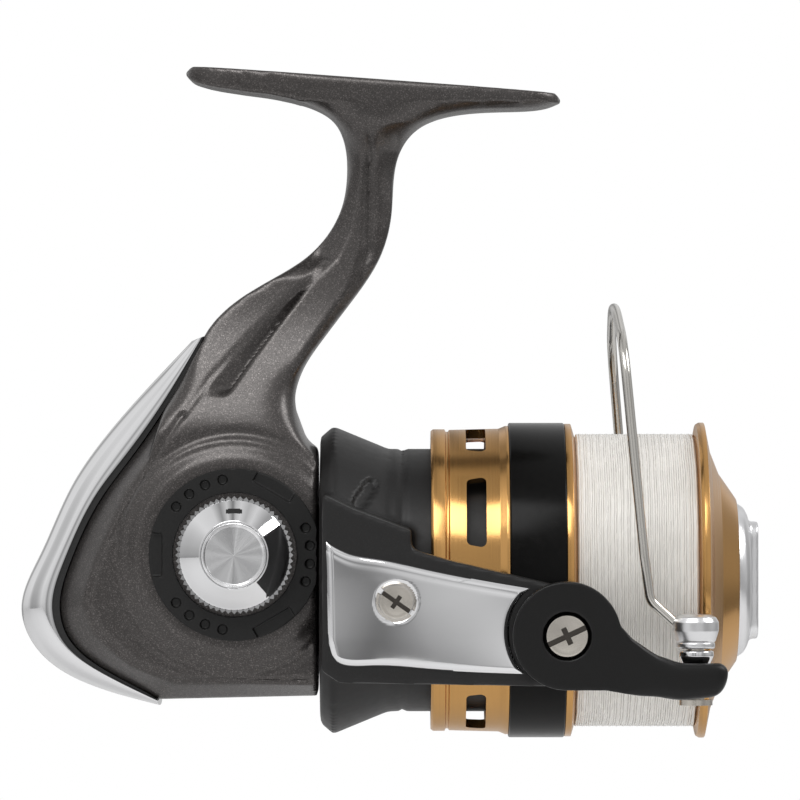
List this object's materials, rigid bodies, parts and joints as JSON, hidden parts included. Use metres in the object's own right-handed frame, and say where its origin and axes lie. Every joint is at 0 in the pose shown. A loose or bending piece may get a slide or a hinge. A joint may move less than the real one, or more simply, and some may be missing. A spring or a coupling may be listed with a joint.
{
  "type": "spinning fishing reel",
  "caption": "Front-drag spinning reel with foot, gear case, rotor, wire bail, line roller, filled spool, drag knob and folding crank handle.",
  "frame": {"origin": "middle of the foot's flat seat, where the reel lies against the rod", "axes": "+Z is the seat's outward normal, +X runs forward along the foot towards the spool, +Y is the handle side; the main shaft climbs 4.2 degrees towards +X"},
  "size_m": [0.121, 0.1201, 0.1072],
  "materials": {
    "case_paint": "fine metallic flake, satin",
    "rotor_paint": "satin",
    "bail_paint": "satin black",
    "chrome": "polished plating",
    "spun_metal": "spun in circles",
    "steel": "machined",
    "wire_steel": "polished stainless wire",
    "screw_nickel": "nickel plated",
    "zinc": "die-cast zinc",
    "brass": "machined",
    "gold_anodised": "gold anodised, polished",
    "band_black": "gloss black",
    "nylon_line": "clear monofilament in close turns",
    "silver_knob": "silver plated plastic",
    "black_plastic": "moulded",
    "ring_plastic": "matt, fine texture",
    "handle_metal": "satin dark grey",
    "knob_rubber": "soft grip",
    "felt": "oiled felt"
  },
  "bodies": {
    "housing": {"body_frame": "case_paint", "side_cover": "case_paint", "side_cover_screws": "steel", "rear_cover": "chrome", "rear_gasket": "black_plastic", "boss_ring": "ring_plastic", "handle_collar": "black_plastic", "drive_bearings": "steel", "pinion_bearing": "steel", "bearing_retainer": "steel", "retainer_screws": "steel", "clutch_housing": "steel", "clutch_rollers": "steel", "slider_guide_rod": "steel", "oscillation_axle": "steel"},
    "handle": {"handle_shaft": "steel", "fold_pin": "steel", "drive_gear": "zinc", "oscillation_drive_gear": "zinc", "handle_cap": "chrome", "cap_disc": "spun_metal"},
    "crank_arm": {"handle_arm": "handle_metal", "knob_spindle": "steel"},
    "knob": {"handle_knob": "knob_rubber", "knob_cap": "black_plastic"},
    "oscillator": {"oscillation_gear": "zinc"},
    "rotor": {"rotor": "rotor_paint", "pinion_gear": "brass", "clutch_sleeve": "steel", "rotor_nut": "steel", "nut_lock_screw": "steel", "arm_cover_near": "chrome", "arm_cover_far": "chrome", "arm_cover_screws": "screw_nickel", "bail_pivot_screws": "screw_nickel", "bail_spring": "steel", "kick_lever": "black_plastic"},
    "bail": {"bail_arm": "bail_paint", "bail_wire": "wire_steel", "wire_cone": "chrome", "bail_holder": "bail_paint", "roller_screw": "screw_nickel"},
    "roller": {"line_roller": "chrome"},
    "spool_shaft": {"main_shaft": "steel", "slider": "zinc", "slider_screw": "steel", "spool_seat": "black_plastic", "spool_washers": "black_plastic"},
    "spool": {"spool": "gold_anodised", "spool_band": "band_black", "wound_line": "nylon_line", "drag_washers_felt": "felt", "drag_washers_metal": "steel", "drag_retainer": "steel"},
    "drag": {"drag_knob": "silver_knob", "knob_insert": "brass"}
  },
  "joints": [
    {"name": "handle_turn", "type": "hinge", "parent": "housing", "child": "handle", "pos_m": [-0.01659, 0, -0.07863], "axis": [0, 1, 0], "continuous": true},
    {"name": "handle_fold", "type": "hinge", "parent": "handle", "child": "crank_arm", "pos_m": [-0.01659, 0.025, -0.07863], "axis": [-0.0732, 0, 0.9973], "range_deg": [0, 90]},
    {"name": "knob_spin", "type": "hinge", "parent": "crank_arm", "child": "knob", "pos_m": [0.03328, 0.06, -0.07496], "axis": [0, 1, 0], "continuous": true},
    {"name": "oscillation_turn", "type": "hinge", "parent": "housing", "child": "oscillator", "pos_m": [-0.03062, 0.0066, -0.08688], "axis": [0, 1, 0], "continuous": true},
    {"name": "rotor_spin", "type": "hinge", "parent": "housing", "child": "rotor", "pos_m": [-0.00308, 0, -0.08225], "axis": [0.9973, 0, 0.0732], "continuous": true},
    {"name": "bail_flip", "type": "hinge", "parent": "rotor", "child": "bail", "pos_m": [0.03718, 0, -0.08711], "axis": [0, 1, 0], "range_deg": [0, 110]},
    {"name": "roller_spin", "type": "hinge", "parent": "bail", "child": "roller", "pos_m": [0.05811, -0.03, -0.09079], "axis": [-0.0732, 0, 0.9973], "continuous": true},
    {"name": "spool_oscillate", "type": "slide", "parent": "housing", "child": "spool_shaft", "axis": [0.9973, 0, 0.0732], "range_m": [0, 0.015]},
    {"name": "spool_drag", "type": "hinge", "parent": "spool_shaft", "child": "spool", "pos_m": [0.04359, 0, -0.07882], "axis": [0.9973, 0, 0.0732], "continuous": true},
    {"name": "drag_knob_turn", "type": "hinge", "parent": "spool_shaft", "child": "drag", "pos_m": [0.06354, 0, -0.07735], "axis": [0.9973, 0, 0.0732], "range_deg": [-720, 360]}
  ],
  "couplings": [
    {"joint": "rotor_spin", "follows": "handle_turn", "ratio": 5.2857},
    {"joint": "oscillation_turn", "follows": "handle_turn", "ratio": -0.61111}
  ]
}
